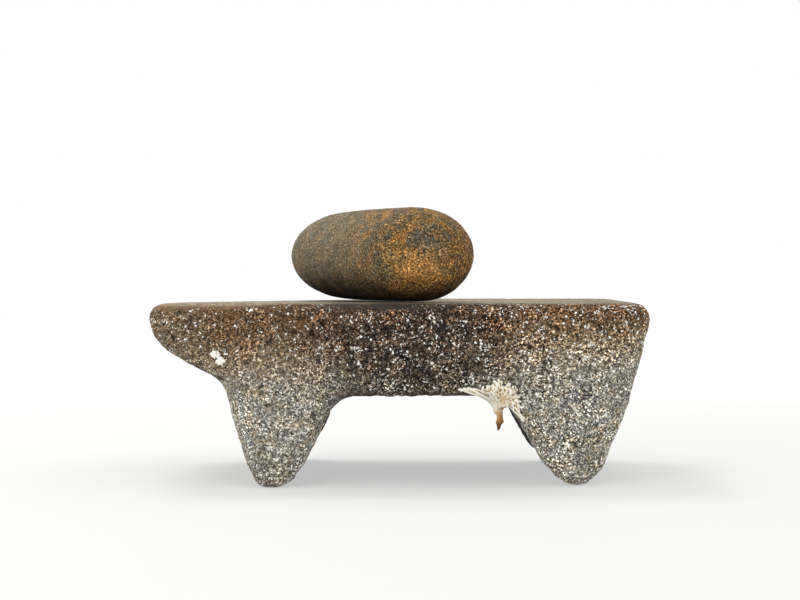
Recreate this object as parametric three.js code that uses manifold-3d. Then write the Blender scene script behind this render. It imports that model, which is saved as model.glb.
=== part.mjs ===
// Saddle quern: a grinding slab on four legs carved from one stone, the handstone
// that rests loose on it, and a dried growth clinging under the slab.
// Millimetres. X runs along the slab, Y from the near long side to the far one, Z up
// from the floor. Each piece is a signed field, below zero inside, and its skin is
// polygonised from that field.
import * as THREE from "three";
import { mergeVertices } from "three/addons/utils/BufferGeometryUtils.js";
import Module from "manifold-3d";

// The slab: its outer sizes, the lean of its ends and sides, and its worn top.
const SLAB = {
  halfLength: 179,
  halfWidth: 105,
  top: 130,
  underside: 64.5,
  cornerRadius: 26,
  topEdge: 11,
  lowerEdge: 9,
  sideLean: 0.035,
  leftLean: 0.2,
  leftLeanStart: 122,
  rightLean: 0.26,
  rightLeanStart: 120,
  dish: 0.8,
  farLeftFall: 3.5,
};
// The left end thins to a beak: its underside climbs outwards from the left legs.
const BEAK = { startX: -118, startZ: 70, slope: 0.56, blend: 10, fillet: 5 };
// The legs: each narrows from its root, at the slab's underside, to a rounded foot, and
// bellies out a little on its inner side, the one towards the slab's middle.
const LEG = { squareness: 2.7, fillet: 17, footRound: 16, sunk: 3 };
const LEFT_LEG = {
  footX: -89.8,
  rootX: -84.5,
  footHalfX: 13.6,
  rootHalfX: 38.5,
  footHalfY: 14,
  rootHalfY: 33,
  footInset: 14,
  belly: 2.4,
};
const RIGHT_LEG = {
  footX: 126,
  rootX: 120.5,
  footHalfX: 13,
  rootHalfX: 46.5,
  footHalfY: 14,
  rootHalfY: 34,
  footInset: 29,
  belly: 1.2,
};
// Slow unevenness left by the carving.
const CARVING = { height: 0.9, waveX: 71, waveY: 58, waveZ: 49, rippleY: 111 };

// The handstone: a long loaf, slightly barrelled, with domed ends, the far end the
// slimmer. It lies across the slab at an angle, and its underside is worn to the slab's
// own top. Taper, bulge and where the domes begin are shares of its half sizes.
const MANO = {
  length: 200,
  width: 83.2,
  height: 69,
  nearDomeStart: 0.6,
  farDomeStart: 0.34,
  taper: 0.05,
  bulge: 0.08,
  centreX: -19,
  centreY: 0,
  centreZ: 163.9,
  turn: 32.5,
  wornEdge: 1.2,
  gap: 0.5,
};

// The growth: rays fanned from a hub under the slab's near edge, and a hanging stalk.
const GROWTH = {
  hubX: 71.5,
  hubY: -103,
  hubZ: 60,
  hubRadius: 5,
  tipY: -106.5,
  rays: 9,
  firstAngle: -44,
  lastAngle: 165,
  shortAngle: 20,
  shortRay: 14,
  rightStretch: 8,
  leftStretch: 15,
  rayRoot: 3.4,
  rayTip: 1.9,
  stalkLength: 18,
  stalkLean: -2.5,
  stalkRoot: 3.6,
  stalkTip: 2.4,
  blend: 3,
  gap: 1.2,
  cutEdge: 1.5,
};

// Cell sizes of the polygonised skins, and how the vertices are evened out.
const CELL = { slab: 9.6, mano: 7.6, growth: 2.3 };
const EVENING_ROUNDS = 3;
const LANDING_STEPS = 4;
const GRADIENT_STEP = 0.05;
const LEAST_STEEPNESS = 0.05;
const MARGIN_CELLS = 1.5;

const FINISHES = {
  metate: { color: 0x857868, roughness: 0.92, metalness: 0 },
  mano: { color: 0x7d6a4b, roughness: 0.77, metalness: 0 },
  dried_growth: { color: 0xd8cbb0, roughness: 0.75, metalness: 0 },
};

const clamp = (value, low, high) => Math.min(Math.max(value, low), high);
const mix = (a, b, t) => a + (b - a) * t;
const radians = (degrees) => (degrees * Math.PI) / 180;

// Union of two fields with a concave fillet of about the given radius.
function blendUnion(a, b, radius) {
  const h = Math.max(radius - Math.abs(a - b), 0) / radius;
  return Math.min(a, b) - (h * h * radius) / 4;
}

// Intersection of two fields with the shared edge rounded to the given radius.
function roundIntersect(a, b, radius) {
  const outside = Math.hypot(Math.max(a + radius, 0), Math.max(b + radius, 0));
  return Math.min(Math.max(a, b), -radius) + outside;
}

// A capsule that narrows from its start to its end.
function capsule(point, start, end, startRadius, endRadius) {
  const along = new THREE.Vector3().subVectors(end, start);
  const toPoint = new THREE.Vector3().subVectors(point, start);
  const t = clamp(toPoint.dot(along) / along.lengthSq(), 0, 1);
  return toPoint.addScaledVector(along, -t).length() - mix(startRadius, endRadius, t);
}

// Slow waviness of the carved faces.
function carving(x, y, z) {
  const { height, waveX, waveY, waveZ, rippleY } = CARVING;
  const long = Math.sin((2 * Math.PI * x) / waveX) * Math.cos((Math.PI * y) / waveY);
  const ripple = Math.cos((2 * Math.PI * y) / rippleY);
  const short = Math.sin((Math.PI * z) / waveZ + x / waveY) * ripple;
  return (height * (long + short)) / 2;
}

// Height of the worn top: slightly dished, and lower towards its far left corner.
function topHeight(x, y) {
  const u = clamp(x / SLAB.halfLength, -1, 1);
  const v = clamp(y / SLAB.halfWidth, -1, 1);
  const dished = SLAB.dish * (1 - u * u) * (1 - v * v);
  const fall = (SLAB.farLeftFall * Math.max(-u, 0) * (v + 1)) / 2;
  return SLAB.top - dished - fall;
}

// The plan outline, which draws in as it goes down, with rounded corners.
function planField(x, y, z) {
  const left = -x - SLAB.halfLength + SLAB.leftLean * Math.max(SLAB.leftLeanStart - z, 0);
  const right = x - SLAB.halfLength + SLAB.rightLean * Math.max(SLAB.rightLeanStart - z, 0);
  const side = Math.abs(y) - SLAB.halfWidth + SLAB.sideLean * (SLAB.top - z);
  return roundIntersect(Math.max(left, right), side, SLAB.cornerRadius);
}

// The underside: level between the legs, and climbing outwards under the beak.
function undersideField(x, z) {
  const level = z - SLAB.underside;
  const climb = (z - BEAK.startZ - BEAK.slope * (BEAK.startX - x)) / Math.hypot(1, BEAK.slope);
  return -blendUnion(level, climb, BEAK.blend);
}

// A near leg, or its mirror image on the far side: a rounded rectangle in plan.
function legField(leg, x, y, z) {
  const t = z / SLAB.underside;
  const belly = 2 * leg.belly * Math.max(t * (1 - t), 0);
  const halfX = mix(leg.footHalfX, leg.rootHalfX, t) + belly;
  const halfY = mix(leg.footHalfY, leg.rootHalfY, t);
  const centreX = mix(leg.footX, leg.rootX, t) - Math.sign(leg.footX) * belly;
  const centreY = SLAB.halfWidth - mix(leg.footInset, leg.rootHalfY, t);
  const n = LEG.squareness;
  const u = Math.abs((x - centreX) / halfX);
  const v = Math.abs((Math.abs(y) - centreY) / halfY);
  return (Math.pow(u ** n + v ** n, 1 / n) - 1) * Math.min(halfX, halfY);
}

function metateField(x, y, z) {
  const plan = planField(x, y, z);
  const legs = Math.min(legField(LEFT_LEG, x, y, z), legField(RIGHT_LEG, x, y, z));
  const standing = roundIntersect(legs, -LEG.sunk - z, LEG.footRound);
  const slab = roundIntersect(plan, undersideField(x, z), SLAB.lowerEdge);
  const beakSide = LEFT_LEG.rootX - LEFT_LEG.rootHalfX / 2;
  const fromBeak = clamp((x - beakSide) / LEFT_LEG.rootHalfX, 0, 1);
  const fillet = mix(BEAK.fillet, LEG.fillet, fromBeak);
  const body = Math.max(plan, blendUnion(slab, standing, fillet)) + carving(x, y, z);
  return roundIntersect(body, z - topHeight(x, y), SLAB.topEdge);
}

function manoField(x, y, z) {
  const turn = radians(MANO.turn);
  const dx = x - MANO.centreX;
  const dy = y - MANO.centreY;
  const along = (dy * Math.cos(turn) - dx * Math.sin(turn)) / (MANO.length / 2);
  const girth = 1 - MANO.taper * along - MANO.bulge * along * along;
  const across = (dx * Math.cos(turn) + dy * Math.sin(turn)) / (girth * MANO.width) * 2;
  const up = (z - MANO.centreZ) / (girth * MANO.height) * 2;
  const domeStart = along < 0 ? MANO.nearDomeStart : MANO.farDomeStart;
  const dome = Math.max(Math.abs(along) - domeStart, 0) / (1 - domeStart);
  const loaf = ((Math.hypot(across, up, dome) - 1) * MANO.height) / 2;
  return roundIntersect(loaf, topHeight(x, y) + MANO.gap - z, MANO.wornEdge);
}

// Length of a ray of the growth: shortest up against the leg, longer to either side.
function rayLength(angle) {
  const toLeft = (angle - GROWTH.shortAngle) / (GROWTH.lastAngle - GROWTH.shortAngle);
  const toRight = (GROWTH.shortAngle - angle) / (GROWTH.shortAngle - GROWTH.firstAngle);
  const left = GROWTH.leftStretch * Math.max(toLeft, 0) ** 2;
  const right = GROWTH.rightStretch * Math.max(toRight, 0) ** 2;
  return GROWTH.shortRay + left + right;
}

function growthField(x, y, z) {
  const point = new THREE.Vector3(x, y, z);
  const hub = new THREE.Vector3(GROWTH.hubX, GROWTH.hubY, GROWTH.hubZ);
  let field = point.distanceTo(hub) - GROWTH.hubRadius;
  for (let i = 0; i < GROWTH.rays; i += 1) {
    const angle = mix(GROWTH.firstAngle, GROWTH.lastAngle, i / (GROWTH.rays - 1));
    const reach = rayLength(angle);
    const tip = new THREE.Vector3(
      GROWTH.hubX + reach * Math.cos(radians(angle)),
      GROWTH.tipY,
      GROWTH.hubZ + reach * Math.sin(radians(angle)),
    );
    const ray = capsule(point, hub, tip, GROWTH.rayRoot, GROWTH.rayTip);
    field = blendUnion(field, ray, GROWTH.blend);
  }
  const end = new THREE.Vector3(GROWTH.stalkLean, 0, -GROWTH.stalkLength).add(hub);
  const stalk = capsule(point, hub, end, GROWTH.stalkRoot, GROWTH.stalkTip);
  field = blendUnion(field, stalk, GROWTH.blend);
  return roundIntersect(field, GROWTH.gap - metateField(x, y, z), GROWTH.cutEdge);
}

// Moves a point on to the field's zero surface along the field's own slope.
function land(field, point) {
  const d = GRADIENT_STEP;
  for (let step = 0; step < LANDING_STEPS; step += 1) {
    const [x, y, z] = point;
    const value = field(x, y, z);
    const slope = [
      (field(x + d, y, z) - field(x - d, y, z)) / (2 * d),
      (field(x, y + d, z) - field(x, y - d, z)) / (2 * d),
      (field(x, y, z + d) - field(x, y, z - d)) / (2 * d),
    ];
    const steepness = slope[0] ** 2 + slope[1] ** 2 + slope[2] ** 2;
    for (let axis = 0; axis < 3; axis += 1) {
      point[axis] -= (value * slope[axis]) / Math.max(steepness, LEAST_STEEPNESS);
    }
  }
}

// Polygonises a field over a box: one vertex in each cell that the surface crosses,
// and one quad round each grid edge that it crosses.
function polygonise(field, low, high, cell) {
  const count = low.map((start, axis) => Math.ceil((high[axis] - start) / cell) + 1);
  const stride = [1, count[0], count[0] * count[1]];
  const values = new Float64Array(count[0] * count[1] * count[2]);
  const place = (i, j, k) => [low[0] + i * cell, low[1] + j * cell, low[2] + k * cell];
  const each = (sizes, visit) => {
    for (let k = 0; k < sizes[2]; k += 1) {
      for (let j = 0; j < sizes[1]; j += 1) {
        for (let i = 0; i < sizes[0]; i += 1) {
          visit(i, j, k, i * stride[0] + j * stride[1] + k * stride[2]);
        }
      }
    }
  };
  each(count, (i, j, k, index) => {
    values[index] = field(...place(i, j, k));
  });

  const points = [];
  const cellVertex = new Map();
  each(count.map((n) => n - 1), (i, j, k, index) => {
    const sum = [0, 0, 0];
    let crossings = 0;
    for (let axis = 0; axis < 3; axis += 1) {
      const [b, c] = [(axis + 1) % 3, (axis + 2) % 3];
      for (let side = 0; side < 4; side += 1) {
        const offset = [0, 0, 0];
        offset[b] = side & 1;
        offset[c] = side >> 1;
        const start = index + offset[b] * stride[b] + offset[c] * stride[c];
        const [first, second] = [values[start], values[start + stride[axis]]];
        if (first < 0 !== second < 0) {
          offset[axis] = first / (first - second);
          sum.forEach((_, n) => (sum[n] += offset[n]));
          crossings += 1;
        }
      }
    }
    if (crossings > 0) {
      const [u, v, w] = sum.map((total) => total / crossings);
      cellVertex.set(index, points.length);
      points.push(place(i + u, j + v, k + w));
    }
  });

  const quads = [];
  each(count, (i, j, k, index) => {
    const at = [i, j, k];
    for (let axis = 0; axis < 3; axis += 1) {
      if (at[axis] + 1 < count[axis]) {
        const inside = values[index] < 0;
        if (inside !== values[index + stride[axis]] < 0) {
          const [b, c] = [stride[(axis + 1) % 3], stride[(axis + 2) % 3]];
          const round = [index - b - c, index - c, index, index - b];
          const quad = round.map((at) => cellVertex.get(at));
          quads.push(inside ? quad : quad.reverse());
        }
      }
    }
  });
  return { points, quads };
}

// Evens out the vertices along the surface, then lands them on it.
function even(field, { points, quads }) {
  points.forEach((point) => land(field, point));
  for (let round = 0; round < EVENING_ROUNDS; round += 1) {
    const sums = points.map(() => [0, 0, 0, 0]);
    for (const quad of quads) {
      quad.forEach((vertex, corner) => {
        const next = quad[(corner + 1) % 4];
        points[next].forEach((value, axis) => (sums[vertex][axis] += value));
        sums[vertex][3] += 1;
      });
    }
    points.forEach((point, vertex) => {
      const sum = sums[vertex];
      point.forEach((value, axis) => (point[axis] = sum[axis] / sum[3]));
      land(field, point);
    });
  }
}

// Splits each quad across its shorter diagonal.
function triangulate({ points, quads }) {
  const distance = (a, b) => Math.hypot(...points[a].map((v, axis) => v - points[b][axis]));
  return quads.flatMap(([a, b, c, d]) => {
    if (distance(a, c) < distance(b, d)) {
      return [a, b, c, a, c, d];
    }
    return [a, b, d, b, c, d];
  });
}

const wasm = await Module();
wasm.setup();

function solid(vertProperties, triVerts) {
  return new wasm.Manifold(new wasm.Mesh({ numProp: 3, vertProperties, triVerts }));
}

function solidFromField(field, low, high, cell) {
  const skin = polygonise(field, low, high, cell);
  even(field, skin);
  return solid(new Float32Array(skin.points.flat()), new Uint32Array(triangulate(skin)));
}

// A box between two corners, as a solid.
function boxSolid(low, high) {
  const size = high.map((value, axis) => value - low[axis]);
  const centre = high.map((value, axis) => (value + low[axis]) / 2);
  const box = new THREE.BoxGeometry(...size).translate(...centre);
  box.deleteAttribute("normal");
  box.deleteAttribute("uv");
  const merged = mergeVertices(box);
  return solid(merged.attributes.position.array, new Uint32Array(merged.index.array));
}

function namedMesh(name, part) {
  const { vertProperties, triVerts } = part.getMesh();
  const geometry = new THREE.BufferGeometry();
  geometry.setAttribute("position", new THREE.BufferAttribute(vertProperties, 3));
  geometry.setIndex(new THREE.BufferAttribute(triVerts, 1));
  geometry.computeVertexNormals();
  const mesh = new THREE.Mesh(geometry, new THREE.MeshStandardMaterial(FINISHES[name]));
  mesh.name = name;
  return mesh;
}

// The box that holds a piece, with room for the skin's outermost cells.
function roomFor(low, high, cell) {
  const margin = MARGIN_CELLS * cell;
  return [low.map((value) => value - margin), high.map((value) => value + margin)];
}

const slabRoom = roomFor(
  [-SLAB.halfLength, -SLAB.halfWidth, -LEG.sunk],
  [SLAB.halfLength, SLAB.halfWidth, SLAB.top],
  CELL.slab,
);
const underFloor = boxSolid(
  [-SLAB.halfLength, -SLAB.halfWidth, -2 * LEG.sunk],
  [SLAB.halfLength, SLAB.halfWidth, 0],
);
const metate = solidFromField(metateField, ...slabRoom, CELL.slab).subtract(underFloor);

const manoReach = MANO.length / 2;
const manoRoom = roomFor(
  [MANO.centreX - manoReach, MANO.centreY - manoReach, MANO.centreZ - MANO.height / 2],
  [MANO.centreX + manoReach, MANO.centreY + manoReach, MANO.centreZ + MANO.height / 2],
  CELL.mano,
);
const mano = solidFromField(manoField, ...manoRoom, CELL.mano);

const rayReach = GROWTH.shortRay + GROWTH.leftStretch + GROWTH.rayRoot;
const growthRoom = roomFor(
  [GROWTH.hubX - rayReach, GROWTH.hubY - GROWTH.hubRadius, GROWTH.hubZ - rayReach],
  [GROWTH.hubX + rayReach, GROWTH.hubY + GROWTH.hubRadius, GROWTH.hubZ + rayReach],
  CELL.growth,
);
const growth = solidFromField(growthField, ...growthRoom, CELL.growth);

const quern = new THREE.Group();
quern.add(namedMesh("metate", metate));
quern.add(namedMesh("mano", mano));
quern.add(namedMesh("dried_growth", growth));

// The origin lies on the floor, under the middle of the whole.
const middle = new THREE.Box3().setFromObject(quern).getCenter(new THREE.Vector3());
for (const piece of quern.children) {
  piece.position.set(-middle.x, -middle.y, 0);
}

export default quern;
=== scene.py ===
"""A saddle quern of dark, pecked stone on four legs, with its handstone resting on the
worn top and a pale dried growth under the near edge.

Lengths are metres in the frame's axes, but the materials work in millimetres. Colours are
linear red, green and blue."""

import math

import bmesh
import bpy
import numpy as np
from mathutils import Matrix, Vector, noise
from mathutils.bvhtree import BVHTree


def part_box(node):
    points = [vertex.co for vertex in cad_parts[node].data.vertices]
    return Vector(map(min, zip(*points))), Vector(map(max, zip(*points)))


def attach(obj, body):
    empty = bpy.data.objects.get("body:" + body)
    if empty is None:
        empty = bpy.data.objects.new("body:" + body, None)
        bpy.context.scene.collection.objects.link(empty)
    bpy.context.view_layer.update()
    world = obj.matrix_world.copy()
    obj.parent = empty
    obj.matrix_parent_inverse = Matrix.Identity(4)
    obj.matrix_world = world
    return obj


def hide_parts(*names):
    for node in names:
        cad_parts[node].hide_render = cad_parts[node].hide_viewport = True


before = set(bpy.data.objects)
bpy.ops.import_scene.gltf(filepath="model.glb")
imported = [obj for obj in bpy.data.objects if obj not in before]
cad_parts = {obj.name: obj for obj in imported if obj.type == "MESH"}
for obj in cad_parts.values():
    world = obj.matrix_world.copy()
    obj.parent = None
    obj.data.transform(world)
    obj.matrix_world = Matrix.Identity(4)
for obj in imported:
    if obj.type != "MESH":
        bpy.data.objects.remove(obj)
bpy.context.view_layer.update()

MM = 0.001

# ---------------------------------------------------------------- sizes

# the quads that each piece is rebuilt in
SLAB_QUAD = 1.75 * MM
HANDSTONE_QUAD = 1.2 * MM
GROWTH_QUAD = 0.34 * MM

# relief: how high it stands and how wide its widest lumps are
SWELL_HEIGHT, SWELL_SIZE = 0.70 * MM, 30.0 * MM
PECKING_HEIGHT, PECKING_SIZE = 0.85 * MM, 8.5 * MM
PIT_DEPTH, PIT_SIZE = 0.80 * MM, 6.2 * MM
HANDSTONE_SWELL_HEIGHT, HANDSTONE_SWELL_SIZE = 0.45 * MM, 35.0 * MM
HANDSTONE_GRAIN_HEIGHT, HANDSTONE_GRAIN_SIZE = 0.14 * MM, 5.0 * MM

# the handstone's long axis, in degrees from Y
HANDSTONE_TURN = 32.5

# the growth: folds that lie flat, folds that stand up, shreds, and strands of the stalk
FLAT_FOLDS, RAISED_FOLDS, SHREDS, STRANDS = 46, 24, 60, 9

# the folds fan out from the first angle, at the lower right, through the sweep, in degrees
FIRST_ANGLE, SWEEP = -38.0, 199.0

# ---------------------------------------------------------------- stains: middle and radii, mm

LEFT_END = (-165.0, 0.0, 105.0), (50.0, 400.0, 36.0)
LEFT_FOOT = (-90.0, 0.0, 8.0), (40.0, 400.0, 34.0)
SLAB_MIDDLE = (12.0, 0.0, 96.0), (112.0, 400.0, 84.0)
WHITE_SPLASH = (
    ((-129.5, -104.0, 94.0), (3.6, 18.0, 3.4)),
    ((-125.5, -104.0, 89.5), (4.0, 18.0, 4.4)),
)
HANDSTONE_GLOW = (12.0, -80.0, 150.0), (30.0, 60.0, 26.0)
HANDSTONE_RIM = (46.0, -62.0, 164.0), (20.0, 60.0, 34.0)
HANDSTONE_PATCH = (18.0, -80.0, 174.0), (16.0, 60.0, 14.0)
HANDSTONE_OLIVE = (-13.0, -80.0, 150.0), (18.0, 50.0, 13.0)

# on the slab's top: middle along X and Y, and radii
HOLLOW_OF_TOP = (0.0, 0.0), (190.0, 118.0, 30.0)
# the handstone's painted shadow on the near edge in front of it
HANDSTONE_SHADOW_ON_EDGE = (-16.0, -104.0), (72.0, 30.0, 16.0)
# radii of the handstone's painted shadow where it rests, in the handstone's turned frame
PAINTED_HANDSTONE_SHADOW_RADII = (25.0, 62.0, 14.0)

# on the growth: middle along X and Z from the fan's middle, and radii
GROWTH_TAN = (4.0, 5.0), (11.0, 40.0, 8.0)
GROWTH_CREVICE = (3.8, -1.7), (7.0, 40.0, 2.4)
GROWTH_WEB = (-9.0, 4.0), (11.0, 40.0, 9.0)

# ---------------------------------------------------------------- colours

SLAB_GREYS = (
    (0.36, (0.250, 0.250, 0.240)),
    (0.50, (0.300, 0.275, 0.230)),
    (0.64, (0.320, 0.260, 0.180)),
)
TAWNY = (0.256, 0.204, 0.140)
BROWN_ABOVE = (0.124, 0.072, 0.038)
DRAB_END = (0.160, 0.130, 0.085)
DULL_FOOT = (0.175, 0.155, 0.120)
DARK_ABOVE, DARK_BELOW = (0.054, 0.036, 0.026), (0.052, 0.031, 0.017)
RUST = (0.175, 0.083, 0.036)
SOOT = (0.026, 0.021, 0.024)
RUBBED_BROWNS = (0.36, (0.16, 0.090, 0.048)), (0.64, (0.30, 0.185, 0.110))
PALE_FLECKS = (0.35, (0.72, 0.67, 0.57)), (0.55, (1.0, 0.985, 0.93))
# painted shade under the slab, on the inner sides of the legs and deep inside
PAINTED_SHADES_BENEATH = (0.35, (0.022, 0.020, 0.018)), (0.65, (0.060, 0.051, 0.042))
DEEP_INSIDE_SHADE = (0.014, 0.013, 0.012)
GROUND_TOP = (0.34, (0.18, 0.136, 0.088)), (0.66, (0.37, 0.285, 0.190))
PECK_MARKS = (0.10, 0.075, 0.052)
# painted shadow colours: where the handstone rests, and on the near edge in front of it
PAINTED_HANDSTONE_SHADOW = (0.022, 0.018, 0.014)
EDGE_SHADOW_COLOUR = (0.040, 0.031, 0.025)

HANDSTONE_LEFT = (0.35, (0.134, 0.117, 0.080)), (0.65, (0.222, 0.164, 0.098))
HANDSTONE_RIGHT = (
    (0.36, (0.082, 0.062, 0.038)),
    (0.47, (0.135, 0.090, 0.042)),
    (0.56, (0.210, 0.112, 0.038)),
    (0.68, (0.255, 0.118, 0.034)),
)
ORANGE = (0.36, 0.180, 0.055)
RED_BROWN = (0.165, 0.078, 0.027)
GREY_PATCH = (0.070, 0.064, 0.054)
OLIVE = (0.105, 0.092, 0.046)
YELLOW_SPECKS = (0.70, 0.46, 0.20)

# the growth's cream, pale on the ridges and dark in the creases: painted light and shade
GROWTH_CREAMS_AND_SHADE = (
    (0.24, (0.13, 0.070, 0.030)),
    (0.36, (0.42, 0.29, 0.140)),
    (0.50, (0.70, 0.61, 0.43)),
    (0.68, (0.90, 0.87, 0.78)),
)
TAN = (0.42, 0.27, 0.115)
CREVICE_BROWN = (0.15, 0.070, 0.030)
WEB_GREY = (0.42, 0.41, 0.36)
STALK_ORANGE = (0.46, 0.235, 0.075)
STALK_RED = (0.17, 0.052, 0.018)
STALK_TIP = (0.095, 0.030, 0.012)

# tints: cool and warm grains, the palest grains, and the slab's upper right
SLAB_CASTS = (0.94, 0.99, 1.06), (1.05, 1.00, 0.91)
HANDSTONE_CASTS = (0.90, 0.99, 1.08), (1.10, 1.00, 0.84)
CREAM_CAST = (1.06, 1.00, 0.88)
BROWN_CAST = (1.07, 0.98, 0.84)

# the floor near the object and far from it: what it reflects and what it gives out
FLOOR_NEAR, FLOOR_FAR = (0.440, 0.435, 0.415), (0.0, 0.0, 0.0)
GLOW_NEAR, GLOW_FAR = (0.390, 0.400, 0.400), (1.0, 1.0, 1.0)


# ---------------------------------------------------------------- meshes


def points_of(mesh):
    """The mesh's vertices as rows of x, y, z."""
    flat = np.empty(len(mesh.vertices) * 3, np.float64)
    mesh.vertices.foreach_get("co", flat)
    return flat.reshape(-1, 3)


def normals_of(mesh):
    """The mesh's vertex normals as rows."""
    flat = np.empty(len(mesh.vertices) * 3, np.float64)
    mesh.vertex_normals.foreach_get("vector", flat)
    return flat.reshape(-1, 3)


def move_points(mesh, points):
    """Puts the mesh's vertices at the given rows of x, y, z."""
    mesh.vertices.foreach_set("co", points.astype(np.float32).ravel())
    mesh.update()


def smooth_step(values, low, high):
    """0 at low, 1 at high, and an even S between them."""
    t = np.clip((values - low) / (high - low), 0.0, 1.0)
    return t * t * (3.0 - 2.0 * t)


def relief(points, size, octaves, shift):
    """Perlin noise, about -1 to 1, at each point; its widest lumps have the given size, and the
    shift picks a part of the noise of its own."""
    dimension, lacunarity = 0.9, 2.0
    start = Vector((shift, -shift, 2.0 * shift))
    return np.array(
        [noise.fractal(Vector(p) / size + start, dimension, lacunarity, octaves) for p in points]
    )


def applied(piece):
    """Turns a piece's modifiers into mesh."""
    graph = bpy.context.evaluated_depsgraph_get()
    graph.update()
    mesh = bpy.data.meshes.new_from_object(piece.evaluated_get(graph))
    piece.modifiers.clear()
    piece.data = mesh
    return mesh


def evened(piece, quad, passes):
    """Rebuilds a piece in even quads of the given size and smooths it."""
    evening = piece.modifiers.new("evening", "REMESH")
    evening.mode = "VOXEL"
    evening.voxel_size = quad
    polish = piece.modifiers.new("polish", "SMOOTH")
    polish.factor = 0.5
    polish.iterations = passes
    return applied(piece)


def rebuilt_copy(node, name, quad):
    """A copy of a CAD node with its facets rounded off, in even quads of the given size."""
    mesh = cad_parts[node].data.copy()
    mesh.materials.clear()
    weld = bmesh.new()
    weld.from_mesh(mesh)
    bmesh.ops.remove_doubles(weld, verts=weld.verts, dist=1e-6)
    weld.to_mesh(mesh)
    weld.free()
    piece = bpy.data.objects.new(name, mesh)
    bpy.context.scene.collection.objects.link(piece)
    rounding = piece.modifiers.new("rounding", "SUBSURF")
    rounding.levels = 2
    evened(piece, quad, passes=8)
    return piece


def shade_smooth(mesh):
    """Shades every face of the mesh smoothly."""
    mesh.polygons.foreach_set("use_smooth", np.ones(len(mesh.polygons), bool))


def unwrap(piece):
    """Lays the piece out flat before its relief breaks up the islands."""
    layout = piece.data.uv_layers.new(name="OFBake")
    piece.data.uv_layers.active = layout
    bpy.context.view_layer.objects.active = piece
    piece.select_set(True)
    bpy.ops.object.mode_set(mode="EDIT")
    bpy.ops.mesh.select_all(action="SELECT")
    bpy.ops.uv.smart_project(angle_limit=1.15, island_margin=0.003)
    bpy.ops.object.mode_set(mode="OBJECT")
    piece.select_set(False)


# ---------------------------------------------------------------- material graphs


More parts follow.
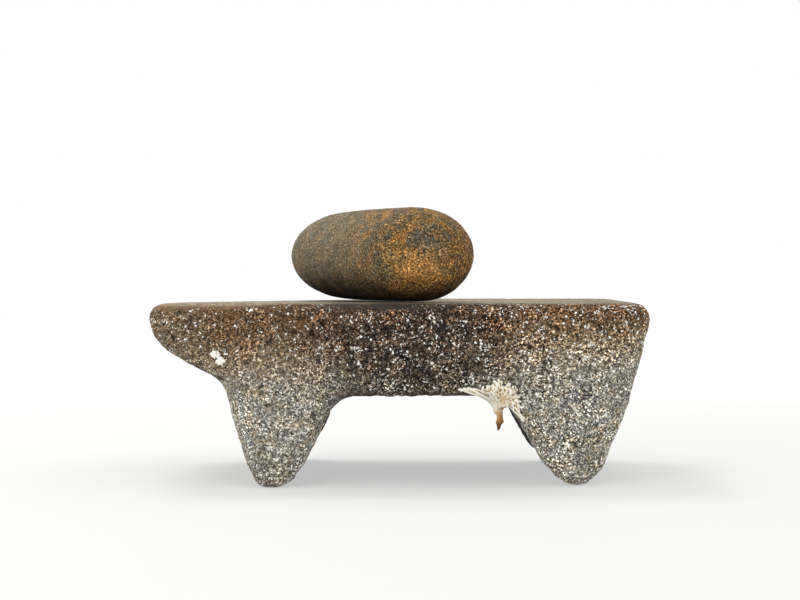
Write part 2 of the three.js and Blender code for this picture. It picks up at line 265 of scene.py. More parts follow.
class Graph:
    """A material's nodes. Sizes and places are millimetres on the object."""

    def __init__(self, name):
        self.material = bpy.data.materials.new(name)
        self.material.use_nodes = True
        self.tree = self.material.node_tree
        self.shader = self.tree.nodes["Principled BSDF"]
        place = self.node("ShaderNodeTexCoord").outputs["Object"]
        scaled = self.node("ShaderNodeVectorMath", {0: place, "Scale": 1000.0}, operation="SCALE")
        self.place = scaled.outputs["Vector"]
        parts = self.node("ShaderNodeSeparateXYZ", {0: self.place})
        self.x, self.y, self.z = (parts.outputs[axis] for axis in "XYZ")

    def node(self, kind, inputs=None, **settings):
        """A new node, with each input set to a value or joined to a socket."""
        made = self.tree.nodes.new(kind)
        for key, value in settings.items():
            setattr(made, key, value)
        for key, value in (inputs or {}).items():
            if isinstance(value, bpy.types.NodeSocket):
                self.tree.links.new(value, made.inputs[key])
            else:
                made.inputs[key].default_value = value
        return made

    def maths(self, operation, first, second=0.0, third=0.0):
        """The result of one operation on numbers or sockets."""
        inputs = {0: first, 1: second, 2: third}
        return self.node("ShaderNodeMath", inputs, operation=operation).outputs[0]

    def times(self, product, *factors):
        """The product of all the values."""
        for factor in factors:
            product = self.maths("MULTIPLY", product, factor)
        return product

    def largest(self, result, *others):
        """The largest of the values."""
        for other in others:
            result = self.maths("MAXIMUM", result, other)
        return result

    def scaled(self, value, factor, offset):
        """The value times the factor, plus the offset."""
        return self.maths("MULTIPLY_ADD", value, factor, offset)

    def noise(self, size, detail=2.0, roughness=0.5, distortion=0.0, place=None):
        """Noise from 0 to 1 whose lumps have the given size."""
        inputs = {
            "Vector": place or self.place,
            "Scale": 1.0 / size,
            "Detail": detail,
            "Roughness": roughness,
            "Distortion": distortion,
        }
        return self.node("ShaderNodeTexNoise", inputs).outputs["Fac"]

    def blotches(self, size, low, high, start=0.0, end=1.0):
        """Soft blotches of about the given size, from start outside them to end inside."""
        return self.step(self.noise(size, 3.0, 0.6), low, high, start, end)

    def warped(self, size, amount):
        """The place, pushed about by noise of the given size."""
        inputs = {"Vector": self.place, "Scale": 1.0 / size, "Detail": 3.0}
        colour = self.node("ShaderNodeTexNoise", inputs).outputs["Color"]
        centred = self.node(
            "ShaderNodeVectorMath", {0: colour, 1: (0.5, 0.5, 0.5)}, operation="SUBTRACT"
        )
        pushed = self.node(
            "ShaderNodeVectorMath",
            {0: centred.outputs[0], 1: (2.0 * amount,) * 3, 2: self.place},
            operation="MULTIPLY_ADD",
        )
        return pushed.outputs[0]

    def turned(self, centre, degrees):
        """The place, turned about an upright axis through the centre."""
        inputs = {"Vector": self.place, "Center": centre, "Angle": math.radians(degrees)}
        return self.node("ShaderNodeVectorRotate", inputs, rotation_type="Z_AXIS").outputs[0]

    def lots(self, size, place=None):
        """Angular grains of the given size, each with two lots of its own, 0 to 1, and how far
        from the grain's middle a point lies, as a share of the size."""
        inputs = {"Vector": place or self.place, "Scale": 1.0 / size}
        cells = self.node("ShaderNodeTexVoronoi", inputs)
        lot = self.node("ShaderNodeSeparateColor", {0: cells.outputs["Color"]})
        return lot.outputs[0], lot.outputs[1], cells.outputs["Distance"]

    def stored(self, name):
        """A number that the mesh stores at each vertex."""
        return self.node("ShaderNodeAttribute", attribute_name=name).outputs["Fac"]

    def step(self, value, low, high, start=0.0, end=1.0):
        """An even S from start, where value is low, to end, where it is high."""
        inputs = {
            "Value": value,
            "From Min": low,
            "From Max": high,
            "To Min": start,
            "To Max": end,
        }
        return self.node(
            "ShaderNodeMapRange", inputs, interpolation_type="SMOOTHSTEP"
        ).outputs[0]

    def pool(self, place, centre, radii):
        """1 at the centre of an ellipsoid, falling to 0 at its surface."""
        inverse = tuple(1.0 / radius for radius in radii)
        offset = tuple(-c / r for c, r in zip(centre, radii))
        inside = self.node(
            "ShaderNodeVectorMath", {0: place, 1: inverse, 2: offset}, operation="MULTIPLY_ADD"
        )
        reach = self.node(
            "ShaderNodeVectorMath", {0: inside.outputs[0]}, operation="LENGTH"
        ).outputs["Value"]
        return self.step(reach, 1.0, 0.25)

    def mix(self, share, first, second, blend="MIX"):
        """The first colour where the share is 0, going over to the second where it is 1."""
        made = self.node("ShaderNodeMix", data_type="RGBA", blend_type=blend)
        for socket, value in ((0, share), (6, first), (7, second)):
            if isinstance(value, bpy.types.NodeSocket):
                self.tree.links.new(value, made.inputs[socket])
            elif socket == 0:
                made.inputs[0].default_value = value
            else:
                made.inputs[socket].default_value = (*value, 1.0)
        return made.outputs[2]

    def ramp(self, value, *stops):
        """A colour ramp through (place, colour) stops."""
        made = self.node("ShaderNodeValToRGB", {0: value})
        elements = made.color_ramp.elements
        while len(elements) < len(stops):
            elements.new(0.5)
        for element, (place, colour) in zip(elements, stops):
            element.position = place
            element.color = (*colour, 1.0)
        return made.outputs[0]

    def tint(self, colour, shade):
        """The colour times a shade, which may be a number or a colour."""
        return self.mix(1.0, colour, shade, "MULTIPLY")

    def stain(self, colour, where, strength, stain):
        """The colour, covered to the given strength by a stain."""
        return self.mix(self.times(where, strength), colour, stain)

    def speckled(self, colour, grain, contrast, evenness, casts, paleness=0.0):
        """The colour broken into light and dark grains, the light ones the paler, and cool and
        warm ones by the two casts. Also gives the dust, which the bumps follow."""
        fine = self.warped(1.5 * grain, 0.5 * grain)
        lot, hue, _ = self.lots(grain, fine)
        dust = self.noise(1.15 * grain, 2.0, 0.75, place=fine)
        level = self.maths("ADD", self.scaled(dust, 3.4, -1.7), self.maths("SUBTRACT", lot, 0.5))
        light = self.maths("EXPONENT", self.times(level, contrast))
        colour = self.tint(colour, self.times(light, evenness))
        brightness = self.node("ShaderNodeRGBToBW", {0: colour}).outputs[0]
        pale = self.step(level, 0.15, 1.10, 0.0, paleness)
        colour = self.mix(pale, colour, self.tint(brightness, CREAM_CAST))
        hue = self.scaled(self.noise(3.0 * grain, 2.0), 0.5, self.times(hue, 0.5))
        return self.tint(colour, self.mix(self.step(hue, 0.25, 0.75), *casts)), dust

    def crumbs(self, size, share):
        """Where small, separate, pale crumbs lie: a share of the grains, loosely in groups."""
        group_size = 11.0
        lot, _, out = self.lots(size, self.warped(0.7 * size, 0.95 * size))
        groups = self.step(self.noise(group_size, 2.0, 0.6), 0.35, 0.65, 0.25, 1.9)
        picked = self.maths("LESS_THAN", lot, self.times(share, groups))
        return self.times(picked, self.step(out, 0.56, 0.44))

    def flecks(self, size, scarcity, extra):
        """Where pale, ragged flecks lie: loose clusters, commoner where extra is above zero."""
        cluster_size, clustering = 13.0, 0.27
        ragged = self.noise(size, 3.0, 0.65, 0.4)
        cluster = self.noise(cluster_size, 2.0, 0.6)
        margin = self.scaled(cluster, clustering, -clustering / 2.0 - scarcity)
        return self.step(self.maths("ADD", ragged, self.maths("ADD", margin, extra)), 0.0, 0.02)

    def finish(self, colour, roughness, height, depth, specular):
        """Joins the colour, roughness and bump height, of the given depth, to the shader."""
        bump = self.node(
            "ShaderNodeBump", {"Height": height, "Distance": depth * MM, "Strength": 1.0}
        )
        self.shader.inputs["Specular IOR Level"].default_value = specular
        self.tree.links.new(colour, self.shader.inputs["Base Color"])
        self.tree.links.new(roughness, self.shader.inputs["Roughness"])
        self.tree.links.new(bump.outputs[0], self.shader.inputs["Normal"])
        return self.material


class SlabStone(Graph):
    """Speckled grey stone, stained brown above, sooty in the middle, worn smooth on top, with a
    painted shadow where the handstone rests. Top is the slab's height, and rest the handstone's
    middle."""

    grain = 1.15

    def __init__(self, top, rest):
        """Keeps the places that several layers share: how high, how level and how worn."""
        super().__init__("quern_stone")
        self.top, self.rest = top, rest
        self.wander = self.warped(24.0, 13.0)
        wandering_z = self.node("ShaderNodeSeparateXYZ", {0: self.wander}).outputs["Z"]
        self.height = self.scaled(self.x, -0.05, wandering_z)
        normal = self.node("ShaderNodeNewGeometry").outputs["Normal"]
        facing = self.node("ShaderNodeSeparateXYZ", {0: normal})
        self.facing_x, self.facing_y, self.up = (facing.outputs[axis] for axis in "XYZ")
        self.level = self.step(self.up, 0.80, 0.985)
        self.middle = self.pool(self.wander, *SLAB_MIDDLE)
        self.worn_edge = self.worn()

    def worn(self):
        """The top and its rounded edge, rubbed smooth furthest down at the left end."""
        narrow = self.step(self.x, -130.0, -70.0)
        band_low = self.scaled(narrow, 5.2, self.top - 6.5)
        band_high = self.scaled(narrow, 1.8, self.top - 1.5)
        near_top = self.step(self.z, self.top - 7.0, self.top - 5.0)
        on_top = self.times(self.step(self.up, 0.93, 0.995), near_top)
        return self.largest(self.step(self.z, band_low, band_high), on_top)

    def stained(self):
        """The broad stains, from the feet upwards."""
        height, middle = self.height, self.middle
        colour = self.ramp(self.noise(10.0, 3.0, 0.6), *SLAB_GREYS)
        colour = self.mix(self.step(height, 60.0, 96.0), colour, TAWNY)
        colour = self.mix(self.step(height, 86.0, 116.0), colour, BROWN_ABOVE)
        colour = self.stain(colour, self.pool(self.wander, *LEFT_END), 0.8, DRAB_END)
        colour = self.stain(colour, self.pool(self.wander, *LEFT_FOOT), 0.75, DULL_FOOT)
        dark = self.mix(self.step(height, 98.0, 76.0), DARK_ABOVE, DARK_BELOW)
        colour = self.stain(colour, middle, 0.94, dark)
        rust = self.times(self.blotches(15.0, 0.52, 0.66), self.step(height, 70.0, 112.0))
        colour = self.stain(colour, rust, 0.45, RUST)
        return self.stain(colour, self.times(self.blotches(9.0, 0.48, 0.60), middle), 0.65, SOOT)

    def grained(self, colour):
        """The grains, strongest where the stone is dark and weakest where it is worn, with sooty
        spots, pits and hollows darkened with painted shade, and the rubbed edge. Also gives the
        height of the bumps."""
        contrast = self.scaled(self.middle, 0.7, self.step(self.x, -70.0, 60.0, 1.95, 2.4))
        contrast = self.times(
            contrast,
            self.step(self.worn_edge, 0.0, 1.0, 1.0, 0.45),
            self.blotches(15.0, 0.38, 0.62, 0.72, 1.2),
        )
        evenness = self.step(self.x, -70.0, 60.0, 0.85, 0.77)
        colour, dust = self.speckled(colour, self.grain, contrast, evenness, SLAB_CASTS, 0.5)
        upper_right = self.times(
            self.step(self.height, 78.0, 100.0), self.step(self.x, 30.0, 80.0, 0.4, 1.0)
        )
        colour = self.mix(upper_right, colour, self.tint(colour, BROWN_CAST))
        sooty = self.times(self.step(self.noise(2.4, 3.0, 0.7), 0.50, 0.62), self.middle)
        colour = self.tint(colour, self.step(sooty, 0.0, 1.0, 1.0, 0.45))
        # pits and hollows darkened in colour: painted shade in the recesses
        pits = self.step(self.noise(3.1, 2.0, 0.6), 0.36, 0.29)
        sunk = self.largest(pits, self.stored("hollow"))
        colour = self.tint(colour, self.step(sunk, 0.0, 1.0, 1.0, 0.25))
        rubbed = self.ramp(self.noise(5.0, 4.0, 0.7), *RUBBED_BROWNS)
        colour = self.stain(colour, self.worn_edge, 0.6, rubbed)
        bumps = self.maths("ADD", dust, self.times(pits, -0.9))
        return colour, self.times(bumps, self.step(self.worn_edge, 0.0, 1.0, 1.0, 0.2))

    def flecked(self, colour):
        """Pale flecks, thickest low on the legs, and one white splash on the near side."""
        low_down = self.step(self.z, 85.0, 12.0, 0.0, 0.030)
        to_right = self.times(self.step(self.x, 20.0, 110.0), self.step(self.z, 60.0, 95.0))
        extra = self.scaled(to_right, 0.020, self.scaled(self.middle, 0.008, low_down))
        share = self.scaled(self.largest(self.middle, to_right), 0.035, 0.024)
        torn = self.warped(2.6, 4.0)
        splash = self.largest(*(self.pool(torn, *part) for part in WHITE_SPLASH))
        where = self.largest(
            self.flecks(1.9, 0.648, extra),
            self.crumbs(1.7, share),
            self.flecks(3.8, 0.690, extra),
            self.step(splash, 0.22, 0.30),
        )
        where = self.times(where, self.step(self.worn_edge, 0.0, 0.8, 1.0, 0.0))
        return self.mix(where, colour, self.ramp(self.noise(1.1, 1.0), *PALE_FLECKS))

    def shaded_beneath(self, colour):
        """Painted shade under the slab, on the inner sides of the legs and on all that is deep
        inside.
        """
        ragged = self.scaled(self.noise(14.0, 3.0, 0.6), 0.9, -0.45)
        inward = self.times(self.y, -0.02, self.facing_y)
        inward = self.step(self.maths("ADD", inward, ragged), 0.10, 1.0)
        below = self.step(self.maths("ADD", self.up, ragged), -0.60, -1.0)
        above_foot = self.step(self.z, 2.0, 30.0, 0.0, 0.82)
        shades = self.ramp(self.noise(8.0, 3.0, 0.6), *PAINTED_SHADES_BENEATH)
        colour = self.stain(colour, self.largest(inward, below), above_foot, shades)
        # painted shade on all that is deep inside, between the legs
        to_middle = self.times(self.x, -0.02, self.facing_x)
        deep = self.times(
            self.step(to_middle, 0.1, 0.6),
            self.step(self.y, -72.0, -45.0),
            self.step(self.z, 68.0, 58.0),
        )
        return self.stain(colour, deep, 0.93, DEEP_INSIDE_SHADE)

    def ground(self, colour):
        """The ground top, pale, fine and smooth, with a painted shadow where the handstone rests
        and at the near edge in front of it."""
        top = self.top
        bed = self.ramp(self.noise(7.0, 5.0, 0.72), *GROUND_TOP)
        middle, radii = HOLLOW_OF_TOP
        hollow = self.pool(self.wander, (*middle, top), radii)
        bed = self.tint(bed, self.step(hollow, 0.0, 1.0, 0.80, 1.12))
        bed = self.tint(bed, self.step(self.x, -110.0, 40.0, 1.22, 1.0))
        bed = self.speckled(bed, self.grain, 0.7, 0.97, SLAB_CASTS)[0]
        bed = self.mix(self.step(self.noise(2.2, 2.0, 0.6), 0.36, 0.30, 0.0, 0.5), bed, PECK_MARKS)
        colour = self.stain(colour, self.level, self.worn_edge, bed)
        # painted shadow of the handstone, on the upward faces where it rests
        turned = self.turned(self.rest, -HANDSTONE_TURN)
        under = self.pool(turned, (*self.rest[:2], top), PAINTED_HANDSTONE_SHADOW_RADII)
        upward = self.times(self.level, 0.92)
        colour = self.stain(colour, self.step(under, 0.0, 0.5), upward, PAINTED_HANDSTONE_SHADOW)
        # painted shadow of the handstone on the near edge in front of it
        middle, radii = HANDSTONE_SHADOW_ON_EDGE
        edge = self.pool(self.wander, (*middle, top), radii)
        near_top = self.step(self.z, top - 7.0, top - 3.0, 0.0, 0.95)
        return self.stain(colour, edge, near_top, EDGE_SHADOW_COLOUR)

    def build(self):
        """The finished material, one layer over the other."""
        colour, bumps = self.grained(self.stained())
        colour = self.ground(self.shaded_beneath(self.flecked(colour)))
        roughness = self.step(self.worn_edge, 0.0, 1.0, 0.92, 0.60)
        return self.finish(colour, roughness, bumps, depth=0.75, specular=0.14)


def handstone_material(bottom):
    """Fine-grained olive-brown stone, greyer to the left, mottled orange at the near end, and
    darkened low down by painted shade. Bottom is its lowest height."""
    g = Graph("hand_stone")
    grain = 1.05
    wander = g.warped(11.0, 9.0)
    parts = g.node("ShaderNodeSeparateXYZ", {0: wander})
    side = g.step(parts.outputs["X"], -56.0, -8.0)
    left = g.ramp(g.noise(12.0, 3.0, 0.6), *HANDSTONE_LEFT)
    right = g.ramp(g.noise(9.0, 4.0, 0.65), *HANDSTONE_RIGHT)
    colour = g.mix(side, left, right)
    glow = g.pool(wander, *HANDSTONE_GLOW)
    colour = g.stain(colour, glow, 0.75, ORANGE)
    colour = g.stain(colour, g.pool(wander, *HANDSTONE_RIM), 0.65, RED_BROWN)
    colour = g.stain(colour, g.pool(wander, *HANDSTONE_PATCH), 0.55, GREY_PATCH)
    colour = g.stain(colour, g.pool(wander, *HANDSTONE_OLIVE), 0.6, OLIVE)
    contrast = g.scaled(g.largest(glow, side), 0.70, 1.10)
    colour, dust = g.speckled(colour, grain, contrast, 0.88, HANDSTONE_CASTS)
    specks = g.step(g.noise(1.5, 2.0, 0.6), 0.68, 0.73)
    colour = g.stain(colour, specks, g.step(glow, 0.0, 0.6, 0.25, 0.9), YELLOW_SPECKS)
    # painted shade low down on the handstone, darkest at its left
    darkest = g.step(side, 0.0, 1.0, 0.03, 0.20)
    shade_top = g.step(side, 0.0, 1.0, bottom + 30.0, bottom + 22.0)
    shaded_low = g.step(parts.outputs["Z"], shade_top, bottom + 3.0, 1.0, darkest)
    colour = g.tint(colour, shaded_low)
    roughness = g.step(g.noise(8.0, 2.0), 0.3, 0.7, 0.70, 0.84)
    return g.finish(colour, roughness, dust, depth=0.30, specular=0.14)


def growth_material(growth):
    """Cream, paler on the ridges and darker in the creases by painted light and shade, tan in its
    folds, grey in the web, red-brown towards the foot.
    """
    g = Graph("growth")
    middle_x, middle_z = (value / MM for value in growth.middle)

    def pool(place, offset, radii):
        """A pool whose centre is offset along X and Z from the fan's middle."""
        centre = (middle_x + offset[0], growth.edge / MM, middle_z + offset[1])
        return g.pool(place, centre, radii)

    streak = g.noise(2.6, 4.0, 0.65, 1.0)
    # paler on the ridges and darker in the creases: painted light and shade over the cream
    ridge = g.scaled(g.stored("ridge"), 0.75, g.times(streak, 0.25))
    colour = g.ramp(ridge, *GROWTH_CREAMS_AND_SHADE)
    fan = g.warped(6.0, 5.0)
    tan = g.times(pool(fan, *GROWTH_TAN), g.step(g.noise(3.4, 3.0, 0.6, 1.0), 0.40, 0.60))
    colour = g.stain(colour, tan, 0.8, TAN)
    colour = g.stain(colour, pool(fan, *GROWTH_CREVICE), 0.85, CREVICE_BROWN)
    colour = g.stain(colour, pool(g.place, *GROWTH_WEB), 0.55, WEB_GREY)

    foot, throat = growth.foot[1] / MM, growth.throat[1] / MM
    across = g.maths("SUBTRACT", g.x, middle_x)
    hang = g.maths("ADD", g.z, g.scaled(streak, -9.0, 4.5))
    on_stalk = g.step(g.maths("ABSOLUTE", across), 9.0, 6.0)
    brown = g.times(g.step(hang, throat + 6.0, throat - 2.0, 0.0, 0.94), on_stalk)
    colour = g.mix(brown, colour, STALK_ORANGE)
    colour = g.stain(colour, g.times(g.step(across, -1.0, 2.5), brown), 0.85, STALK_RED)
    tip = g.step(hang, foot + 9.0, foot + 2.5, 0.0, 0.92)
    colour = g.stain(colour, tip, on_stalk, STALK_TIP)
    roughness = g.step(streak, 0.3, 0.7, 0.85, 0.6)
    return g.finish(colour, roughness, g.noise(0.9, 3.0, 0.6), depth=0.2, specular=0.2)


# ---------------------------------------------------------------- pieces


def dressed(piece, node, material):
    """Gives a piece its material and its place in the frame."""
    piece.data.materials.append(material)
    shade_smooth(piece.data)
    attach(piece, "root")
    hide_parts(node)
    return piece


def store(mesh, name, values):
    """Keeps one number for each vertex, for the material to read."""
    kept = mesh.attributes.new(name, "FLOAT", "POINT")
    kept.data.foreach_set("value", np.asarray(values, np.float32))


def build_metate():
    """The legged slab: pecked rough all over, and ground smooth on top."""
    piece = rebuilt_copy("metate", "quern_body", SLAB_QUAD)
    unwrap(piece)
    mesh = piece.data
    points = points_of(mesh)
    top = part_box("metate")[1].z
    worn = smooth_step(points[:, 2], top - 13.0 * MM, top - 4.0 * MM)
    rough = 1.0 - 0.85 * worn
    off_floor = smooth_step(points[:, 2], 0.5 * MM, 4.0 * MM)
    swells = relief(points, SWELL_SIZE, octaves=2, shift=3.1)
    pecking = relief(points, PECKING_SIZE, octaves=3, shift=7.7)
    pits = relief(points, PIT_SIZE, octaves=2, shift=11.0)
    hollow = smooth_step(pits, 0.30, 0.75) * rough
    height = SWELL_HEIGHT * swells + PECKING_HEIGHT * pecking - PIT_DEPTH * hollow
    height *= rough * off_floor
    move_points(mesh, points + normals_of(mesh) * height[:, None])
    store(mesh, "hollow", hollow)
    low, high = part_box("mano")
    rest = tuple((low + high) / (2.0 * MM))
    return dressed(piece, "metate", SlabStone(top / MM, rest).build())


def build_mano():
    """The handstone: smooth from use, with faint lumps."""
    piece = rebuilt_copy("mano", "quern_handstone", HANDSTONE_QUAD)
    unwrap(piece)
    mesh = piece.data
    points = points_of(mesh)
    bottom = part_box("mano")[0].z
    above_bed = smooth_step(points[:, 2], bottom + 1.0 * MM, bottom + 6.0 * MM)
    swells = relief(points, HANDSTONE_SWELL_SIZE, octaves=2, shift=5.0)
    grain = relief(points, HANDSTONE_GRAIN_SIZE, octaves=2, shift=1.0)
    height = HANDSTONE_SWELL_HEIGHT * swells + HANDSTONE_GRAIN_HEIGHT * grain
    move_points(mesh, points + normals_of(mesh) * (height * above_bed)[:, None])
    return dressed(piece, "mano", handstone_material(bottom / MM))


def bezier(start, middle, end, count):
    """Points along a quadratic curve, as rows of x and z."""
    t = np.linspace(0.0, 1.0, count)[:, None]
    return (1 - t) ** 2 * start + 2 * t * (1 - t) * middle + t**2 * end


def tube(made, path, radii, sides=7):
    """Adds a closed, round tube along the path to a bmesh."""
    rings = []
    for i, (centre, radius) in enumerate(zip(path, radii.tolist())):
        ahead = Vector(path[min(i + 1, len(path) - 1)] - path[max(i - 1, 0)]).normalized()
        across = ahead.cross(Vector((0.1, 1.0, 0.2))).normalized()
        over = ahead.cross(across)
        turns = [2.0 * math.pi * k / sides for k in range(sides)]
        rings.append([
            made.verts.new(Vector(centre) + radius * (math.cos(t) * across + math.sin(t) * over))
            for t in turns
        ])
    for low, high in zip(rings, rings[1:]):
        for k in range(sides):
            n = (k + 1) % sides
            made.faces.new((low[k], low[n], high[n], high[k]))
    made.faces.new(rings[0][::-1])
    made.faces.new(rings[-1])


class Growth:
    """The dried growth: folds that fan out over the slab's edge from one hanging stalk."""

    def __init__(self, bed):
        self.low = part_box("dried_growth")[0]
        self.draw = np.random.default_rng(12)
        self.stone = BVHTree.FromObject(bed, bpy.context.evaluated_depsgraph_get())
        self.edge = self.low.y + 8.5 * MM
        self.deepest = self.low.y + 20.0 * MM
        self.middle = self.at(28.0, 18.5)
        self.throat = self.at(27.6, 13.0)
        self.foot = self.at(28.2, 0.8)
        self.made = bmesh.new()

    def at(self, x, z):
        """A place in the fan, in millimetres from the growth's lower left corner."""
        return np.array([self.low.x + x * MM, self.low.z + z * MM])

    def reach(self, angle):
        """How far a fold runs from the fan's middle, by its angle in degrees."""
        upright = 13.6 + 1.4 * math.sin(math.radians(angle)) ** 2
        left_arm = 16.0 * smooth_step(np.float64(angle), 132.0, 160.0)
        right_arm = 9.0 * smooth_step(-np.float64(angle), 8.0, 40.0)
        return (upright + left_arm + right_arm) * MM

    def draped(self, path, lift):
        """Lays x and z points on the stone's near face, lifted off it, or across the gap."""
        rows = []
        for (x, z), up in zip(path, lift):
            start = Vector((x, self.low.y - 20.0 * MM, z))
            hit = self.stone.ray_cast(start, Vector((0.0, 1.0, 0.0)))[0]
            on_stone = hit is not None and hit.y < self.deepest
            rows.append([x, (min(hit.y, self.edge) if on_stone else self.edge) - up, z])
        rows = np.array(rows)
        for _ in range(3):
            rows[1:-1, 1] = (rows[:-2, 1] + 2 * rows[1:-1, 1] + rows[2:, 1]) / 4
        return rows

    def fold(self, share, raised):
        """One fold, from the throat up to the rim; share goes from 0, right, to 1, left."""
        draw, count = self.draw, 26
        angle = FIRST_ANGLE + SWEEP * share
        a = math.radians(angle)
        length = self.reach(angle) * (0.84 + 0.22 * draw.random())
        tip = self.middle + length * np.array([math.cos(a), math.sin(a)])
        spread = 1.0 - share
        start = self.throat + np.array([(3.6 * spread - 1.8) * MM, 0.0])
        bend = self.middle + np.array([9.0 * spread - 4.5, 7.5]) * MM
        path = bezier(start, bend, tip, count)
        along = np.linspace(0.0, 1.0, count)
        side = np.array([-math.sin(a), math.cos(a)])
        waves = np.sin(along * (6.0 + 8.0 * draw.random()) + 6.3 * draw.random())
        path += side * ((0.5 + 0.5 * raised) * MM * waves * along)[:, None]
        lift = 0.2 + (0.4 + 1.7 * draw.random()) * raised * np.sin(math.pi * along) ** 0.7
        lift *= MM
        on_upper_rim = -6.0 < angle < 128.0
        if on_upper_rim:
            path, lift = self.curled(path, lift)
        root, rim = (1.05, 0.75) if raised else (1.40, 0.85)
        thin = smooth_step(np.float64(angle), -36.0, -8.0) * 0.5 + 0.5
        radii = np.linspace(root, rim, len(path)) * thin * MM
        tube(self.made, self.draped(path, lift), radii)

    def curled(self, path, lift):
        """Carries a fold on into a loose curl that stands off the stone."""
        draw = self.draw
        turn = draw.normal(0.0, 0.60)
        heading = math.atan2(*(path[-1] - path[-3])[::-1])
        size = (0.45 + 0.30 * draw.random()) * MM
        rise = (0.1 + 0.4 * draw.random()) * MM
        for _ in range(int(draw.integers(1, 6))):
            heading += turn
            turn *= 1.15
            step = size * np.array([math.cos(heading), math.sin(heading)])
            path = np.vstack([path, path[-1] + step])
            lift = np.append(lift, lift[-1] + rise)
        return path, lift

    def shred(self):
        """A short ragged strip, somewhere on the fan, that bends away from it."""
        draw = self.draw
        angle = 2.0 + 138.0 * draw.random()
        a = math.radians(angle)
        out = (0.25 + 0.68 * draw.random()) * self.reach(angle)
        place = self.middle + out * np.array([math.cos(a), math.sin(a)])
        heading = a + draw.normal(0.0, 1.2)
        turn = draw.normal(0.0, 0.35)
        path = [place]
        for _ in range(int(draw.integers(4, 10))):
            heading += turn
            path.append(path[-1] + 0.6 * MM * np.array([math.cos(heading), math.sin(heading)]))
        along = np.linspace(0.0, 1.0, len(path))
        lift = (0.9 + (0.5 + 1.6 * draw.random()) * np.sin(math.pi * (0.15 + 0.85 * along))) * MM
        radii = (0.60 + 0.80 * draw.random()) * (1.0 - 0.35 * along) * MM
        tube(self.made, self.draped(np.array(path), lift), radii)

    def stalk(self, strands, count=24):
        """Twisted strands that hang from the throat, swell near the foot and end in a point."""
        along = np.linspace(0.0, 1.0, count)
        bulb = 0.7 * np.exp(-(((along - 0.66) / 0.13) ** 2))
        swell = 1.0 - 0.25 * np.sin(math.pi * along) + bulb
        for strand in range(strands):
            turn = 2.0 * math.pi * strand / strands + 2.2 * along
            ragged = 1.0 + 0.45 * self.draw.normal() * np.sin(math.pi * along)
            width = (2.0 - 1.35 * along) * swell * ragged * MM
            x = self.throat[0] + (self.foot[0] - self.throat[0]) * along
            x += width * np.cos(turn) + 0.45 * MM * np.sin(5.0 * along)
            top = self.throat[1] + 3.0 * MM
            drop = 1.0 - 0.12 * self.draw.random()
            z = top + (self.foot[1] - top) * along * drop
            sunk = 2.6 * MM * (1.0 - along) ** 4
            y = self.edge - 0.6 * MM + sunk + 0.75 * width * np.sin(turn)
            tube(self.made, np.stack([x, y, z], 1), np.linspace(0.95, 0.50, count) * MM)


def ridges(mesh, rounds=10):
    """How far each vertex stands out of its neighbourhood, in millimetres."""
    points = points_of(mesh)
    edges = np.empty(len(mesh.edges) * 2, np.int32)
    mesh.edges.foreach_get("vertices", edges)
    first, second = edges.reshape(-1, 2).T
    count = len(points)
    ways = np.bincount(edges, minlength=count).clip(1)
    blurred = points.copy()
    for _ in range(rounds):
        rows = []
        for row in blurred.T:
            total = np.bincount(first, row[second], count)
            total += np.bincount(second, row[first], count)
            rows.append(total / ways)
        blurred = np.stack(rows, 1)
    return ((points - blurred) * normals_of(mesh)).sum(1) / MM


def build_growth(bed):
    """The growth, grown over the near face of the slab, its bed, as one crust."""
    growth = Growth(bed)
    for fold in range(FLAT_FOLDS):
        growth.fold((fold + 0.5) / FLAT_FOLDS, 0.0)
    for fold in range(RAISED_FOLDS):
        growth.fold((fold + growth.draw.random()) / RAISED_FOLDS, 1.0)
    for _ in range(SHREDS):
        growth.shred()
    growth.stalk(STRANDS)

    bmesh.ops.recalc_face_normals(growth.made, faces=growth.made.faces)
    mesh = bpy.data.meshes.new("folds")
    growth.made.to_mesh(mesh)
    growth.made.free()
    piece = bpy.data.objects.new("dried_growth_crust", mesh)
    bpy.context.scene.collection.objects.link(piece)
    mesh = evened(piece, GROWTH_QUAD, passes=1)
    store(mesh, "ridge", np.clip(0.55 + 1.5 * ridges(mesh), 0.0, 1.0))
    return dressed(piece, "dried_growth", growth_material(growth))


# ---------------------------------------------------------------- floor, light, camera


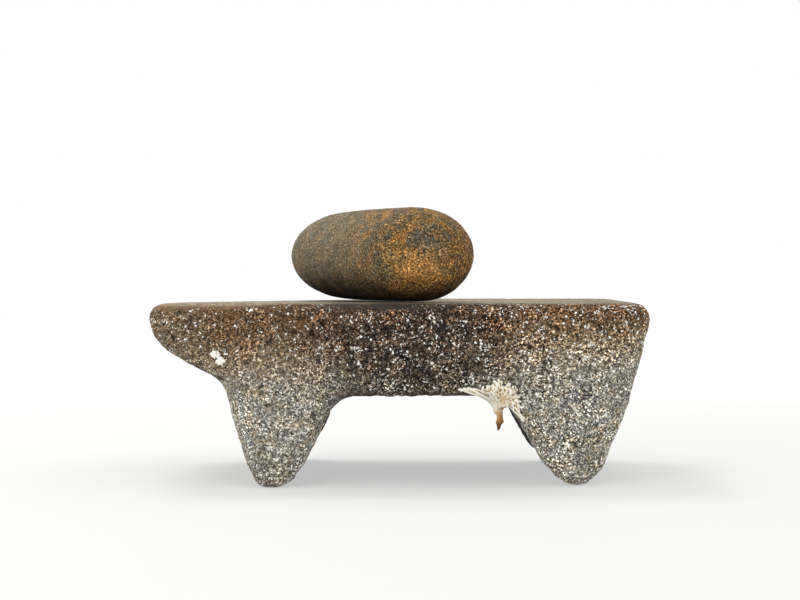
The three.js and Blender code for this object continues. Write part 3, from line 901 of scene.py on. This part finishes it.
def build_floor():
    """A pale table that fades into the white studio all round."""
    reach, fade_start, fade_end = 4.0, 0.45, 1.25
    floor = bpy.data.objects.new("floor", bpy.data.meshes.new("floor"))
    signs = (-1, -1), (1, -1), (1, 1), (-1, 1)
    corners = [(reach * along, reach * across, 0.0) for along, across in signs]
    floor.data.from_pydata(corners, [], [(0, 1, 2, 3)])
    bpy.context.scene.collection.objects.link(floor)
    g = Graph("paper")
    distance = g.node("ShaderNodeVectorMath", {0: g.place}, operation="LENGTH").outputs["Value"]
    far = g.step(distance, fade_start / MM, fade_end / MM)
    colour = g.mix(far, FLOOR_NEAR, FLOOR_FAR)
    glow = g.mix(far, GLOW_NEAR, GLOW_FAR)
    g.tree.links.new(colour, g.shader.inputs["Base Color"])
    g.tree.links.new(glow, g.shader.inputs["Emission Color"])
    g.shader.inputs["Emission Strength"].default_value = 1.0
    g.shader.inputs["Roughness"].default_value = 0.8
    g.shader.inputs["Specular IOR Level"].default_value = 0.1
    floor.data.materials.append(g.material)


def add_light(name, place, aim, size, power):
    """A soft rectangular light, turned to the aim, with its power in watts."""
    data = bpy.data.lights.new(name, "AREA")
    data.shape = "RECTANGLE"
    data.size, data.size_y = size
    data.energy = power
    lamp = bpy.data.objects.new(name, data)
    lamp.location = place
    lamp.rotation_euler = (Vector(aim) - Vector(place)).to_track_quat("-Z", "Y").to_euler()
    bpy.context.scene.collection.objects.link(lamp)


def build_light():
    """An even white studio, with a soft light above and behind and one at the front left."""
    world = bpy.data.worlds.new("studio")
    bpy.context.scene.world = world
    world.use_nodes = True
    background = world.node_tree.nodes["Background"]
    background.inputs["Color"].default_value = (1.0, 1.0, 1.0, 1.0)
    background.inputs["Strength"].default_value = 1.0
    add_light("overhead", (-0.45, 0.55, 1.5), aim=(0.0, 0.0, 0.05), size=(0.6, 0.5), power=8.0)
    add_light("front", (-0.9, -1.5, 0.9), aim=(0.0, 0.0, 0.08), size=(0.7, 0.6), power=5.5)
    bpy.context.scene.view_settings.view_transform = "Standard"


def build_camera():
    """A little above the slab's top, almost level, and square to the near long side."""
    eye_height, near_gap = 0.155, 1.30
    focal_ratio, down = 2.332, math.radians(1.01)
    data = bpy.data.cameras.new("camera")
    data.sensor_width = 36.0
    data.lens = focal_ratio * data.sensor_width
    camera = bpy.data.objects.new("camera", data)
    camera.location = (0.0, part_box("metate")[0].y - near_gap, eye_height)
    camera.rotation_euler = (math.radians(90.0) - down, 0.0, 0.0)
    bpy.context.scene.collection.objects.link(camera)
    bpy.context.scene.camera = camera


build_camera()
build_floor()
build_light()
quern_body = build_metate()
build_mano()
build_growth(quern_body)
